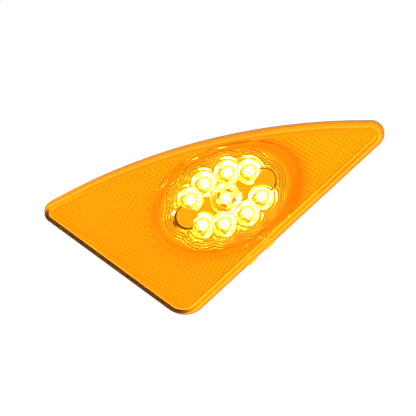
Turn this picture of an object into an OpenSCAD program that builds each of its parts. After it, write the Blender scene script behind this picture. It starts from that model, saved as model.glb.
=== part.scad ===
// Amber LED fender light for a truck: a three-cornered lens with an oval lamp window.
// Millimetres. X runs along the fender, Z is up, and the lens looks towards -Y.
// The origin is the middle LED's axis where it meets the fender panel.

/* [Outline] */
// Left corner, sideways from the lamp axis
left_x = -102.8; // [-108:0.2:-98]
// Left corner, height of its arc centre
left_z = -9.5; // [-13:0.1:-7]
// Left corner radius
left_r = 7.4; // [6.8:0.2:10]
// Bottom corner, sideways from the lamp axis
bottom_x = -25; // [-32:0.2:-20]
// Bottom corner, height of its arc centre
bottom_z = -55.3; // [-60:0.1:-54]
// Bottom corner radius
bottom_r = 15.6; // [12:0.2:20]
// Tip, sideways from the lamp axis
tip_x = 86.1; // [82:0.1:95]
// Tip, height of its arc centre
tip_z = 39; // [38:0.1:42]
// Tip radius
tip_r = 7.8; // [6.8:0.2:10]
// Radius of the long arched top edge
top_arc_r = 396; // [370:1:400]

/* [Lens] */
// Height of the lens, from its foot to its face
lens_h = 16; // [14:0.5:20]
// How far the sloping sides draw in on the way to the face
lens_bevel = 3.4; // [2.5:0.1:4]
// Height of the rounding where sides and face meet
lens_round = 2.2; // [1:0.2:3]
// Wall thickness of the sides
lens_wall = 2.4; // [2:0.1:2.8]
// Thickness of the face
face_t = 2.5; // [2:0.1:3]
// Extra thickness of the reflex field on the inside of the face
reflex_t = 0.8; // [0.4:0.1:1.2]
// Clear strip between the side walls and the reflex field
reflex_margin = 0.8; // [0.4:0.1:1.5]
// Depth of the oval dish in the face
dish_depth = 4; // [2:0.5:5]
// Width of the rolled edge of the dish, along the oval's long axis
dish_roll = 6.4; // [4:0.2:8]
// Size of the locating lugs on the lower right side, along the edge
lug_len = 6; // [3:0.5:8]
// How far a lug stands proud
lug_proud = 1; // [0.6:0.1:1.5]
// Place of the first lug, from the bottom corner's arc
lug_start = 38.5; // [30:0.5:50]
// Distance from one lug to the next
lug_pitch = 14.5; // [10:0.5:20]

/* [Lamp window] */
// Tilt of the oval and of the LED pattern
array_tilt = 26.4; // [20:0.2:30]
// Half length of the oval window
window_u = 44; // [43:0.5:45]
// Half height of the oval window
window_v = 28; // [27:0.5:29]
// Outer LEDs, along the long axis
outer_u = 19.8; // [19:0.1:21]
// Outer LEDs, across it
outer_v = 8.45; // [8:0.05:9]
// Inner LEDs, along the long axis
inner_u = 7.7; // [7.5:0.05:8]
// Inner LEDs, across it
inner_v = 13.45; // [13:0.05:14]
// Width of an LED package
led_w = 5; // [4:0.1:5.4]
// Height of an LED package
led_h = 1.6; // [1.2:0.1:2]

/* [Reflector] */
// Mouth radius of a bowl
bowl_r = 7.5; // [7:0.1:7.6]
// Floor radius of a bowl
bowl_floor_r = 4.3; // [3.9:0.1:4.8]
// Mouth radius of the middle bowl
middle_r = 9.4; // [8.5:0.1:10]
// Floor radius of the middle bowl
middle_floor_r = 5.8; // [5:0.1:6.5]
// Height of the bowl mouths over the circuit board
bowl_h = 5.5; // [5:0.1:6]
// Wall round a bowl
cup_wall = 0.7; // [0.5:0.1:1]
// Number of scalloped terraces
terraces = 4; // [2:1:4]
// Height of the first terrace's wall, which catches the light of the bowls
first_wall_h = 2; // [1.4:0.1:2]
// Height of each further terrace
terrace_h = 0.4; // [0.2:0.05:0.4]
// Width of a terrace's floor
terrace_w = 1.3; // [1:0.1:1.4]
// Ledge between the bowls and the first terrace's wall
ledge_w = 1.1; // [1:0.1:1.4]
// How far a terrace's wall leans out, for each millimetre of its height
flare = 0.65; // [0.5:0.05:0.7]
// Place of the two round wells, along the long axis
well_u = 25.7; // [25:0.1:26.5]
// Radius of a round well
well_r = 6.7; // [6:0.1:7]
// Depth of a round well
well_depth = 3; // [1:0.2:3.4]
// Thickness of the reflector's skins
skin_t = 1.5; // [1:0.1:1.8]
// Thickness of the reflector's edge, which laps over the housing's rib
lip_t = 1; // [0.6:0.1:1.2]

/* [Housing] */
// Foam gasket thickness
gasket_t = 2; // [1.5:0.1:3]
// Foam gasket width
gasket_w = 5; // [4:0.2:5]
// Thickness of the housing flange
flange_t = 2.5; // [2:0.1:3]
// How far the flange stands out round the lens
flange_out = 0.1; // [0:0.1:0.6]
// Height of the locating rib inside the lens foot
rib_h = 3.5; // [3:0.1:4]
// Thickness of the locating rib
rib_t = 1.6; // [1.2:0.1:2]
// Height of the shelf that carries the reflector
shelf_h = 2; // [1.9:0.1:2.4]
// Width of that shelf
shelf_w = 2; // [1.5:0.1:2.5]
// Half length of the circuit board
board_u = 42; // [40:0.5:42]
// Half height of the circuit board
board_v = 27; // [26.5:0.1:27]
// Thickness of the circuit board
board_t = 1.6; // [1:0.1:2]
// Wall of the pod behind the board
pod_wall = 2.4; // [2:0.1:2.6]
// How far the pod reaches through the fender panel
pod_depth = 8; // [7:0.5:14]
// Stiffening ribs on the back, width
back_rib_w = 1.6; // [1:0.1:2.4]
// Stiffening ribs on the back, height
back_rib_h = 1.2; // [0.6:0.1:1.4]

/* [Socket] */
// Plug socket, sideways from the lamp axis
socket_x = -14; // [-17:0.5:-10]
// Plug socket, height
socket_z = -7; // [-9:0.5:-5]
// Plug socket, inner width
socket_w = 23; // [21:0.5:25]
// Plug socket, inner height
socket_h = 13; // [12:0.5:15]
// Plug socket, depth
socket_depth = 16; // [12:0.5:20]
// Plug socket, wall
socket_wall = 1.6; // [1.2:0.1:2]
// Blade width
blade_w = 2.8; // [2:0.1:3]
// Blade thickness
blade_t = 0.8; // [0.6:0.1:1]
// Distance from blade to blade
blade_pitch = 7; // [5:0.5:7.5]
// How far the blade tips stay back from the socket mouth
blade_back = 3; // [1:0.5:5]

/* [Fixings] */
// Mounting stud radius
stud_r = 2.5; // [2:0.25:3]
// Mounting stud length behind the fender face
stud_len = 18; // [12:1:30]
// Radius of the shoulder that stops the gasket being crushed
shoulder_r = 3.4; // [3.2:0.1:4]
// Height of a stud's hexagonal head
stud_head_h = 2.8; // [2:0.1:3]
// Left stud, sideways
stud_left_x = -82; // [-84:0.5:-76]
// Left stud, height
stud_left_z = -11; // [-13:0.5:-9]
// Bottom stud, sideways
stud_bottom_x = -27; // [-30:0.5:-24]
// Bottom stud, height
stud_bottom_z = -50; // [-52:0.5:-48]
// Tip stud, sideways
stud_tip_x = 68; // [64:0.5:69]
// Tip stud, height
stud_tip_z = 32; // [30:0.5:32]
// Small screw radius
screw_r = 1.25; // [1:0.05:1.5]
// Small screw head radius
screw_head_r = 2.4; // [2:0.1:2.6]
// Small screw head height
screw_head_h = 1.6; // [1:0.1:1.8]
// Small screw length under the head
screw_len = 5; // [4.5:0.5:6]

/* [Hidden] */
$fn = 64;
LEDS = 9;

// Clearances and small cuts
slip = 0.1;
fit_gap = 0.2;
over = 1;
quarter_turn = 90;
full_turn = 360;

// Heights above the fender panel
flange_top = gasket_t + flange_t;
lens_top = flange_top + lens_h;
window_top = lens_top - dish_depth;
under_drop = face_t - 0.3;
under_grow = face_t * 0.4;
board_top = flange_top;
board_under = board_top - board_t;
bowl_top = board_top + bowl_h;
shelf_top = flange_top + shelf_h;
plate_top = shelf_top + skin_t;
terrace_top = terrace_floor(terraces);
pod_back = -pod_depth;
pod_floor = pod_back + flange_t;
socket_mouth = pod_back - socket_depth;

// Insets from the outer edge of the lens
rib_in = lens_wall + fit_gap;
shelf_in = rib_in + rib_t;
plate_in = shelf_in + fit_gap;
reflex_in = lens_bevel + lens_wall + reflex_margin;

// Corners, and the centre of the top arc, which touches the left corner's arc and the tip's
left_c = [left_x, left_z];
bottom_c = [bottom_x, bottom_z];
tip_c = [tip_x, tip_z];
function arc_centre(a, b, ra, rb) =
    let (d = b - a, span = norm(d), e = d / span, da = top_arc_r - ra, db = top_arc_r - rb,
         along = (da * da - db * db + span * span) / (2 * span))
    a + along * e + sqrt(da * da - along * along) * [e[1], -e[0]];
top_c = arc_centre(left_c, tip_c, left_r, tip_r);
function bearing(v) = atan2(v[1], v[0]);
function side_normal(a, b, ra, rb) = bearing(b - a) - acos((ra - rb) / norm(b - a));
left_side = side_normal(left_c, bottom_c, left_r, bottom_r);
right_side = side_normal(bottom_c, tip_c, bottom_r, tip_r);
top_start = bearing(tip_c - top_c);
top_end = bearing(left_c - top_c);

// Outline of the lamp, drawn in by an inset, as arcs and straight sides
corner_step = 8;
top_step = 2;
function arc_points(c, r, a0, a1, step, skip = 0) =
    let (n = ceil((a1 - a0) / step))
    [for (i = [skip:n - skip]) c + r * [cos(a0 + (a1 - a0) * i / n), sin(a0 + (a1 - a0) * i / n)]];
function outline(inset) = concat(
    arc_points(bottom_c, bottom_r - inset, left_side, right_side, corner_step),
    arc_points(tip_c, tip_r - inset, right_side, top_start, corner_step),
    arc_points(top_c, top_arc_r - inset, top_start, top_end, top_step, 1),
    arc_points(left_c, left_r - inset, top_end, left_side + full_turn, corner_step));
oval_sides = 72;
function ellipse(a, b) = [for (i = [0:oval_sides - 1])
    let (t = full_turn * i / oval_sides) [a * cos(t), b * sin(t)]];

// Places in the LED pattern's own axes, clockwise from the upper left, the middle one last
led_at = [[-outer_u, outer_v], [-inner_u, inner_v], [inner_u, inner_v], [outer_u, outer_v],
          [outer_u, -outer_v], [inner_u, -inner_v], [-inner_u, -inner_v], [-outer_u, -outer_v],
          [0, 0]];
ring_leds = [for (i = [0:LEDS - 2]) led_at[i]];

// Places of the fixings
studs_at = [[stud_left_x, stud_left_z], [stud_bottom_x, stud_bottom_z], [stud_tip_x, stud_tip_z]];
boss_r = 7.2;
board_boss_r = 3.4;
board_boss_u = board_u - 5.5;
board_boss_v = board_v - 4.5;
board_bosses = [[-board_boss_u, 0], [board_boss_u, 0], [0, -board_boss_v], [0, board_boss_v]];
plate_screws = [[-60, 0], [-52, -34], [54, 26]];
plate_boss_r = 4;
vent_u = 24;
vent_r = 5;
vent_h = 1.5;
vent_stem_r = 1.8;
blades = [for (k = [-1, 0, 1]) [socket_x + k * blade_pitch, socket_z]];

// A module's local height is the distance out from the fender panel
module outward() { rotate([90, 0, 0]) children(); }
module tilted() { rotate([0, 0, array_tilt]) children(); }
module plan(inset) { polygon(outline(inset)); }
module slab(inset, from, to) { translate([0, 0, from]) linear_extrude(to - from) plan(inset); }
module ring(outer, inner, from, to) {
    translate([0, 0, from]) linear_extrude(to - from) difference() {
        plan(outer);
        plan(inner);
    }
}
module oval(a, b, from, to) {
    translate([0, 0, from]) linear_extrude(to - from) polygon(ellipse(a, b));
}
module rod(at, r, from, to) { translate([at[0], at[1], from]) cylinder(h = to - from, r = r); }

// A skin over rings of points, one convex stage at a time; a ring is [flat points, height]
module stage(low, high) {
    n = len(low[0]);
    points = [for (g = [low, high]) for (p = g[0]) [p[0], p[1], g[1]]];
    sides = [for (i = [0:n - 1]) [i, n + i, n + (i + 1) % n, (i + 1) % n]];
    polyhedron(points, concat(sides, [[for (i = [0:n - 1]) i], [for (i = [n - 1:-1:0]) n + i]]));
}
module skin(rings) {
    for (k = [0:len(rings) - 2]) hull() stage(rings[k], rings[k + 1]);
}

// Lens: sloping sides that round into the face, and a rolled oval dish over the LEDs
foot_h = rib_h + 0.5;
round_steps = 4;
roll_steps = 6;
side_in = lens_bevel * 0.6;
dish_roll_v = dish_roll * 0.55;
function side_rings(wall, face) = [for (k = [0:round_steps]) let (t = quarter_turn * k / round_steps)
    [outline(wall + side_in + (lens_bevel - side_in) * (1 - cos(t))),
     lens_top - face - lens_round * (1 - sin(t))]];
function shell_rings(wall, face, foot) =
    concat([[outline(wall), foot], [outline(wall), flange_top + foot_h]], side_rings(wall, face));
function dish_rings(grow, drop) = [for (k = [0:roll_steps]) let (t = 1 - k / roll_steps)
    [ellipse(window_u + grow + dish_roll * t, window_v + grow + dish_roll_v * t),
     window_top - drop + dish_depth * (1 - cos(full_turn / 2 * t)) / 2]];
module dish_void() {
    rim = ellipse(window_u + dish_roll, window_v + dish_roll_v);
    tilted() skin(dish_rings(0, 0));
    tilted() skin([[rim, lens_top], [rim, lens_top + over]]);
}
module dish_body() { tilted() skin(dish_rings(under_grow, under_drop)); }
module reflex_pad() {
    difference() {
        slab(reflex_in, lens_top - face_t - reflex_t, lens_top - face_t);
        tilted() oval(window_u + dish_roll, window_v + dish_roll_v, 0, lens_top);
    }
}
module lugs() {
    start = bottom_c + bottom_r * [cos(right_side), sin(right_side)];
    translate([start[0], start[1], flange_top]) rotate([0, 0, right_side + 90]) {
        for (i = [0, 1]) {
            translate([lug_start + i * lug_pitch, -lug_proud, 0]) cube([lug_len, lug_proud + 1, 2]);
        }
    }
}
module lens() {
    color("orange", 0.8) outward() difference() {
        union() {
            skin(shell_rings(0, 0, flange_top));
            lugs();
        }
        difference() {
            skin(shell_rings(lens_wall, face_t, flange_top - over));
            dish_body();
            reflex_pad();
        }
        dish_void();
    }
}

// Bead of sealant in the flange's groove, under the lens foot
seal_in = 0.6;
seal_w = 1.2;
seal_depth = 1;
module lens_seal() {
    color("#201c1c") outward()
        ring(seal_in, seal_in + seal_w, flange_top - seal_depth, flange_top);
}

// Reflector: bowls in scalloped terraces, moulded in one with the bright plate round them
function ball_centre(mouth, throat, top, low) =
    (mouth * mouth + top * top - throat * throat - low * low) / (2 * (top - low));
throat_h = 0.8;
lip_gap = 0.3;
module bowl(mouth, throat) {
    low = board_top + throat_h;
    mid = ball_centre(mouth, throat, bowl_top, low);
    ball = sqrt(mouth * mouth + (bowl_top - mid) * (bowl_top - mid));
    translate([0, 0, mid]) sphere(r = ball);
    translate([0, 0, board_top - over]) cylinder(h = throat_h + 2 * over, r = throat);
}
function terrace_floor(k) = bowl_top + (k > 0 ? first_wall_h + (k - 1) * terrace_h : 0);
module funnel(at, r, from, to) {
    translate([at[0], at[1], from]) cylinder(h = to - from, r1 = r, r2 = r + flare * (to - from));
}
module scallops(ledge, from, to) {
    for (p = ring_leds) funnel(p, bowl_r + ledge, from, to);
    for (s = [-1, 1]) funnel([s * well_u, 0], well_r + ledge, from, to);
    translate([0, 0, from]) linear_extrude(to - from) polygon(ring_leds);
}
module edge_lip() {
    rib_top = flange_top + rib_h;
    ring(plate_in, plate_in + lip_t, shelf_top, rib_top + lip_t);
    ring(rib_in + lip_gap, plate_in + over, rib_top, rib_top + lip_t);
}
module cups(grow, to) {
    for (p = ring_leds) rod(p, bowl_r + grow, board_top, to);
    rod([0, 0], middle_r + grow, board_top, to);
}
module reflector() {
    island_u = window_u - 0.5;
    island_v = window_v - 0.2;
    color("gainsboro") outward() difference() {
        union() {
            difference() {
                union() {
                    slab(plate_in, shelf_top, plate_top);
                    edge_lip();
                    tilted() oval(island_u, island_v, shelf_top, terrace_top);
                }
                tilted() {
                    oval(island_u - skin_t, island_v - skin_t, shelf_top - over, bowl_top - skin_t);
                    for (k = [0:terraces - 1]) {
                        rise = terrace_floor(k) - bowl_top;
                        scallops(ledge_w + k * terrace_w + flare * rise, bowl_top + rise,
                            terrace_top + over);
                    }
                    for (s = [-1, 1]) rod([s * well_u, 0], well_r, bowl_top - well_depth, terrace_top);
                }
            }
            tilted() {
                cups(cup_wall, bowl_top);
                for (s = [-1, 1]) {
                    difference() {
                        rod([s * well_u, 0], well_r + cup_wall, bowl_top - well_depth - skin_t,
                            bowl_top - skin_t);
                        rod([s * well_u, 0], well_r, bowl_top - well_depth, bowl_top);
                    }
                }
            }
        }
        tilted() {
            for (p = ring_leds) translate(p) bowl(bowl_r, bowl_floor_r);
            bowl(middle_r, middle_floor_r);
        }
        for (p = plate_screws) rod(p, screw_r + fit_gap, shelf_top - over, plate_top + over);
    }
}

// A slot for one blade, wider and thicker than it by a gap
module blade_slot(at, gap, from, to) {
    translate([at[0], at[1], from]) linear_extrude(to - from)
        square([blade_w + gap, blade_t + gap], center = true);
}

// Circuit board: an oval that lines up the LEDs, with slots for the blades
module led_board() {
    color("#f2ead8") outward() difference() {
        tilted() oval(board_u, board_v, board_under, board_top);
        tilted() for (p = board_bosses) {
            rod(p, screw_r + fit_gap, board_under - over, board_top + over);
        }
        for (b = blades) blade_slot(b, 2 * slip, board_under - over, board_top + over);
    }
}

// One LED: a square package with a cut corner, a round lit well and six solder legs
lit_r = 1.9;
lit_depth = 0.3;
leg_w = 0.9;
leg_t = 0.2;
leg_out = 0.2;
leg_pitch = 1.6;
corner_cut = 0.7;
module led(i) {
    half = led_w / 2;
    color("white") outward() tilted() translate([led_at[i][0], led_at[i][1], board_top])
        difference() {
            union() {
                linear_extrude(led_h) polygon([[-half, -half], [half, -half], [half, half],
                    [corner_cut - half, half], [-half, half - corner_cut]]);
                for (k = [-1, 0, 1]) {
                    translate([-half - leg_out, k * leg_pitch - leg_w / 2, 0])
                        cube([led_w + 2 * leg_out, leg_w, leg_t]);
                }
            }
            translate([0, 0, led_h - lit_depth]) cylinder(h = led_h, r = lit_r);
        }
}

// Parts on the back of the board
module on_back(at, h) { translate([at[0], at[1], board_under - h]) children(); }
module chip(at, size) {
    on_back(at, size[2]) linear_extrude(size[2]) square([size[0], size[1]], center = true);
}
resistor_size = [3.2, 6.3, 0.6];
resistor_first = 2;
resistor_pitch = 9;
resistor_v = 8;
upper_resistors = 4;
lower_resistors = 2;
diode_at = [-28, 13];
diode_size = [4.3, 2.6, 2.3];
suppressor_at = [-14, 13];
suppressor_size = [7, 6, 2.4];
capacitor_at = [-14, -14];
capacitor_base = [6.6, 6.6, 1];
capacitor_r = 3.15;
capacitor_h = 5.4;
module resistor_row(count, v) {
    for (i = [0:count - 1]) chip([resistor_first + i * resistor_pitch, v], resistor_size);
}
module resistors() {
    color("#303030") outward() tilted() {
        resistor_row(upper_resistors, resistor_v);
        resistor_row(lower_resistors, -resistor_v);
    }
}
module protection_diode() {
    color("#282828") outward() tilted() chip(diode_at, diode_size);
}
module surge_suppressor() {
    color("#282828") outward() tilted() chip(suppressor_at, suppressor_size);
}
module capacitor() {
    color("silver") outward() tilted() {
        chip(capacitor_at, capacitor_base);
        on_back(capacitor_at, capacitor_h) cylinder(h = capacitor_h, r = capacitor_r);
    }
}

// Housing: a flange that carries the lens, and a pod that reaches through the fender panel
hex_gap = 0.1;
catch_w = 6;
catch_out = 1.2;
catch_len = 3;
catch_back = 4;
stud_head_r = 4.6;
stud_head_top = gasket_t + 1 + stud_head_h;
module socket_shape(grow) {
    offset(r = 1) square([socket_w - 2 + 2 * grow, socket_h - 2 + 2 * grow], center = true);
}
module socket_body() {
    translate([socket_x, socket_z, socket_mouth]) linear_extrude(socket_depth + over)
        socket_shape(socket_wall);
    translate([socket_x - catch_w / 2, socket_z + socket_h / 2 + socket_wall - over,
        socket_mouth + catch_back])
        cube([catch_w, over + catch_out, catch_len]);
}
module back_ribs() {
    for (p = studs_at) {
        translate([0, 0, gasket_t - back_rib_h]) rotate([0, 0, bearing(p)])
            translate([0, -back_rib_w / 2, 0])
                cube([norm(p) - 2 * shoulder_r, back_rib_w, back_rib_h + over]);
    }
}
module housing() {
    color("#241f20") outward() difference() {
        union() {
            slab(-flange_out, gasket_t, flange_top);
            ring(rib_in, shelf_in, flange_top - over, flange_top + rib_h);
            ring(shelf_in - over, shelf_in + shelf_w, flange_top - over, shelf_top);
            tilted() oval(board_u + 0.6 + pod_wall, board_v + 0.6 + pod_wall, pod_back, flange_top);
            for (p = studs_at) rod(p, boss_r, gasket_t, stud_head_top + fit_gap);
            for (p = plate_screws) rod(p, plate_boss_r, gasket_t, shelf_top);
            back_ribs();
            socket_body();
        }
        ring(seal_in, seal_in + seal_w, flange_top - seal_depth, flange_top + over);
        tilted() difference() {
            oval(board_u + 0.6, board_v + 0.6, pod_floor, flange_top + over);
            for (p = board_bosses) rod(p, board_boss_r, pod_floor, board_under);
        }
        tilted() {
            for (p = board_bosses) rod(p, screw_r + slip / 2, board_top - screw_len - 0.5, board_top);
            rod([vent_u, 0], vent_stem_r + slip / 2, pod_back - over, pod_floor + over);
        }
        translate([socket_x, socket_z, socket_mouth - over]) linear_extrude(socket_depth + over)
            socket_shape(0);
        for (b = blades) blade_slot(b, slip, pod_back - over, pod_floor + over);
        for (p = studs_at) {
            rod(p, shoulder_r + slip / 2, gasket_t - over - back_rib_h, flange_top);
            translate([p[0], p[1], gasket_t + 1])
                cylinder(h = stud_head_h + over, r = stud_head_r + hex_gap, $fn = 6);
        }
        for (p = plate_screws) rod(p, screw_r + slip / 2, plate_top - screw_len - 0.3, shelf_top + over);
    }
}

// Foam gasket, a flat ring between the flange and the fender panel
module gasket() {
    color("#57545a") outward() ring(-flange_out, gasket_w - flange_out, 0, gasket_t);
}

// Studs: hexagonal heads let into the flange, threaded ends behind the fender panel
module mounting_studs() {
    color("silver") outward() for (p = studs_at) {
        translate([p[0], p[1], gasket_t + 1]) cylinder(h = stud_head_h, r = stud_head_r, $fn = 6);
        rod(p, shoulder_r, 0, gasket_t + 1);
        rod(p, stud_r, -stud_len, 0);
    }
}

// Contact blades, from the socket through the pod floor to the board
module blade(b) {
    chamfer = 0.8;
    half = blade_w / 2;
    color("gold") outward() translate([b[0], b[1] + blade_t / 2, 0])
        rotate([90, 0, 0]) linear_extrude(blade_t) polygon([
            [-half, board_top - slip], [-half, socket_mouth + blade_back + chamfer],
            [chamfer - half, socket_mouth + blade_back], [half - chamfer, socket_mouth + blade_back],
            [half, socket_mouth + blade_back + chamfer], [half, board_top - slip]]);
}
module terminal_ground() { blade(blades[0]); }
module terminal_park() { blade(blades[1]); }
module terminal_turn() { blade(blades[2]); }

// Pan-head screws
module screw(p, seat) {
    rod(p, screw_head_r, seat, seat + screw_head_h);
    rod(p, screw_r, seat - screw_len, seat);
}
module board_screws() {
    color("silver") outward() tilted() for (p = board_bosses) screw(p, board_top);
}
module reflector_screws() {
    color("silver") outward() for (p = plate_screws) screw(p, plate_top);
}

// Breather: a membrane cap on a short stem in the pod floor
module breather_vent() {
    color("#1c1c1e") outward() tilted() {
        rod([vent_u, 0], vent_r, pod_back - vent_h, pod_back);
        rod([vent_u, 0], vent_stem_r, pod_back, pod_floor);
    }
}

lens();
lens_seal();
reflector();
led_board();
led(0);  // led_1
led(1);  // led_2
led(2);  // led_3
led(3);  // led_4
led(4);  // led_5
led(5);  // led_6
led(6);  // led_7
led(7);  // led_8
led(8);  // led_9
resistors();
protection_diode();
surge_suppressor();
capacitor();
housing();
gasket();
mounting_studs();
terminal_ground();
terminal_park();
terminal_turn();
board_screws();
reflector_screws();
breather_vent();
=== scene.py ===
# %% [markdown]
# # An amber LED fender light
# A truck wears this lamp on its front fender, where it flashes with the turn signals. The solids
# come packed from the CAD model, so this lesson never moves them. It makes the camera, the studio
# and the finishes, and it models again the pieces whose looks need more than the solids give:
# the lens with its prisms, the nine lit LEDs, the bright reflector and the threaded studs.

# %% Load the frame
import math

import bmesh
import bpy
from mathutils import Matrix, Vector


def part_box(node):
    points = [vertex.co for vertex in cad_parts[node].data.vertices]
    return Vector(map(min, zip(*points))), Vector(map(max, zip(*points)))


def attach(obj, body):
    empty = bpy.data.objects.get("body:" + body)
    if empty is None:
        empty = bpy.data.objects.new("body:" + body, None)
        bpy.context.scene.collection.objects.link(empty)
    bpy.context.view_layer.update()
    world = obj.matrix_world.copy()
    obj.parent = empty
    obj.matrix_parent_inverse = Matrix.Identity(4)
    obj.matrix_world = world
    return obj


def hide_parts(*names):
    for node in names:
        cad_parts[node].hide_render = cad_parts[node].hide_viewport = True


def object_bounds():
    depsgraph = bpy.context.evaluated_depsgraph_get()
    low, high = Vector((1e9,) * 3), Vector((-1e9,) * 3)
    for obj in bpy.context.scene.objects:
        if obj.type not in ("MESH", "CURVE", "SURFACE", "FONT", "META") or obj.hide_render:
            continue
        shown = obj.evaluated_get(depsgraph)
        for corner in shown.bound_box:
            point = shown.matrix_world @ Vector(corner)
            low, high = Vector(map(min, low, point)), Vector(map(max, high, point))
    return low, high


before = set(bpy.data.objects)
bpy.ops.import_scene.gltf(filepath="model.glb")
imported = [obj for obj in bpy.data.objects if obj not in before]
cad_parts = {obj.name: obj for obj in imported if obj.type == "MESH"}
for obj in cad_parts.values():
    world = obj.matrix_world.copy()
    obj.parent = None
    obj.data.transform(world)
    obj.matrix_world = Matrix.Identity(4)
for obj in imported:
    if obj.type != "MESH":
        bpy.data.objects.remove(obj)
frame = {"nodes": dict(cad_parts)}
cad_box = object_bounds()
nodes = frame["nodes"]
print("CAD nodes:", len(nodes), "box:", [tuple(round(c, 4) for c in corner) for corner in cad_box])

# %% [markdown]
# ## The camera
# The photograph looks at the lamp almost square on, from a little to the right and a little above.
# Two things show it: the dish's edge is shifted against the LEDs below it, and the left and lower
# sides hide their walls while the right and top sides show them. The middle LED's place in the
# picture and the picture's scale then give the aim and the focal length.

# %% Place the camera
MM = 0.001
PICTURE_PX = 416
MM_PER_PX = 0.6
MIDDLE_LED_PX = (226.2, 197.7)
AZIMUTH = math.radians(6.4)
ELEVATION = math.radians(6.4)
DISTANCE = 1.2
SENSOR_MM = 36.0

led_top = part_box("led_9")[0].y
aim = Vector(((PICTURE_PX / 2 - MIDDLE_LED_PX[0]) * MM_PER_PX * MM, led_top,
              (MIDDLE_LED_PX[1] - PICTURE_PX / 2) * MM_PER_PX * MM))
to_camera = Vector((math.sin(AZIMUTH) * math.cos(ELEVATION),
                    -math.cos(AZIMUTH) * math.cos(ELEVATION), math.sin(ELEVATION)))
camera_data = bpy.data.cameras.new("camera")
camera_data.sensor_width = SENSOR_MM
camera_data.lens = SENSOR_MM * DISTANCE / (PICTURE_PX * MM_PER_PX * MM)
camera = bpy.data.objects.new("camera", camera_data)
camera.location = aim + to_camera * DISTANCE
camera.rotation_euler = to_camera.to_track_quat("Z", "Y").to_euler()
scene = bpy.context.scene
scene.collection.objects.link(camera)
scene.camera = camera
print("camera at", tuple(round(c, 3) for c in camera.location), "lens", round(camera_data.lens, 1))

# %% [markdown]
# ## Shader maths as plain expressions
# A material is a graph of nodes, and a sum such as `1 - mask * 2` would take two nodes and three
# links by hand. The small class below wraps an output socket, and its operators add the Math
# nodes, so that a finish reads like a formula. Every other node comes from one method.

# %% Wrap a socket and a node tree
class Socket:
    """An output socket whose arithmetic adds Math nodes."""

    def __init__(self, nodes, output):
        self.nodes = nodes
        self.output = output

    def math(self, operation, first, second):
        return self.nodes.node("Math", {"operation": operation}, {0: first, 1: second})

    def __add__(self, other):
        return self.math("ADD", self, other)

    __radd__ = __add__

    def __rsub__(self, other):
        return self.math("SUBTRACT", other, self)

    def __mul__(self, other):
        return self.math("MULTIPLY", self, other)


class Nodes:
    """The emptied node tree of a material or a world."""

    def __init__(self, owner):
        owner.use_nodes = True
        self.tree = owner.node_tree
        self.tree.nodes.clear()

    def node(self, kind, settings=None, sockets=None, result=0):
        """Adds a node, sets it, feeds its sockets, and returns one of its outputs."""
        made = self.tree.nodes.new("ShaderNode" + kind)
        for name, value in (settings or {}).items():
            if name == "stops":
                set_stops(made.color_ramp, value)
            else:
                setattr(made, name, value)
        for name, value in (sockets or {}).items():
            if isinstance(value, Socket):
                self.tree.links.new(value.output, made.inputs[name])
            else:
                made.inputs[name].default_value = value
        return Socket(self, made.outputs[result]) if made.outputs else None


def set_stops(ramp, stops):
    """Gives a colour ramp its grey stops, from left to right."""
    while len(ramp.elements) > 1:
        ramp.elements.remove(ramp.elements[-1])
    for place, light in stops:
        stop = ramp.elements.new(place)
        stop.color = (light, light, light, 1.0)
    ramp.elements.remove(ramp.elements[0])


print("operators ready: add, multiply, and subtract from a number")

# %% [markdown]
# ## The studio
# The lamp floats in front of a white sweep, lit by soft boxes from the upper left and the right.
# The world is white where the camera looks past the lamp. Through the amber plastic it is
# brighter ahead than at the sides. For gloss it is dark ahead and behind, as if a photographer
# had set black cards there, so that the lens keeps its deep colour instead of a grey veil.
# Two lists of stops say how the light depends on the direction, from 0 behind to 1 ahead.

# %% Light the world
WHITE = (1.0, 1.0, 1.0, 1.0)
FILL_LIGHT = 0.55
THROUGH_LIGHT = 1.8
THROUGH_STOPS = [(0.0, 0.35), (0.6, 0.35), (0.75, 1.0), (1.0, 1.0)]
GLOSS_STOPS = [(0.0, 0.04), (0.1, 0.04), (0.18, 0.5), (0.42, 0.5), (0.52, 0.05), (1.0, 0.03)]


def by_direction(tree, stops, ahead):
    """A grey that depends on the direction, which runs from -1 behind to 1 ahead."""
    return tree.node("ValToRGB", {"stops": stops}, {"Fac": ahead * 0.5 + 0.5})


world = bpy.data.worlds.new("studio")
scene.world = world
sky = Nodes(world)
seen = sky.node("LightPath", result="Is Camera Ray")
through = sky.node("LightPath", result="Is Transmission Ray")
gloss = sky.node("LightPath", result="Is Glossy Ray")
direction = sky.node("TexCoord", result="Generated")
ahead = sky.node("SeparateXYZ", sockets={"Vector": direction}, result="Y") * -1.0
front = by_direction(sky, THROUGH_STOPS, ahead)
unseen = 1.0 - sky.node("Math", {"operation": "MAXIMUM"}, {0: seen, 1: through})
open_light = seen + through * front * THROUGH_LIGHT
shut_light = gloss * by_direction(sky, GLOSS_STOPS, ahead) + (1.0 - gloss) * FILL_LIGHT
background = sky.node("Background", sockets={"Color": WHITE,
                                             "Strength": open_light + unseen * shut_light})
sky.node("OutputWorld", sockets={"Surface": background})
print("world nodes:", len(sky.tree.nodes))

# %% [markdown]
# The soft boxes give the rounded parts their shading. They show neither in gloss nor through the
# lens, where their hard edges would look out of place.

# %% Hang the soft boxes
def soft_box(name, place, size, watts):
    """A square area lamp that looks at the middle of the object."""
    data = bpy.data.lights.new(name, "AREA")
    data.shape = "SQUARE"
    data.size = size
    data.energy = watts
    lamp = bpy.data.objects.new(name, data)
    lamp.visible_glossy = False
    lamp.visible_transmission = False
    lamp.location = place
    lamp.rotation_euler = Vector(place).to_track_quat("Z", "Y").to_euler()
    scene.collection.objects.link(lamp)
    return lamp


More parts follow.
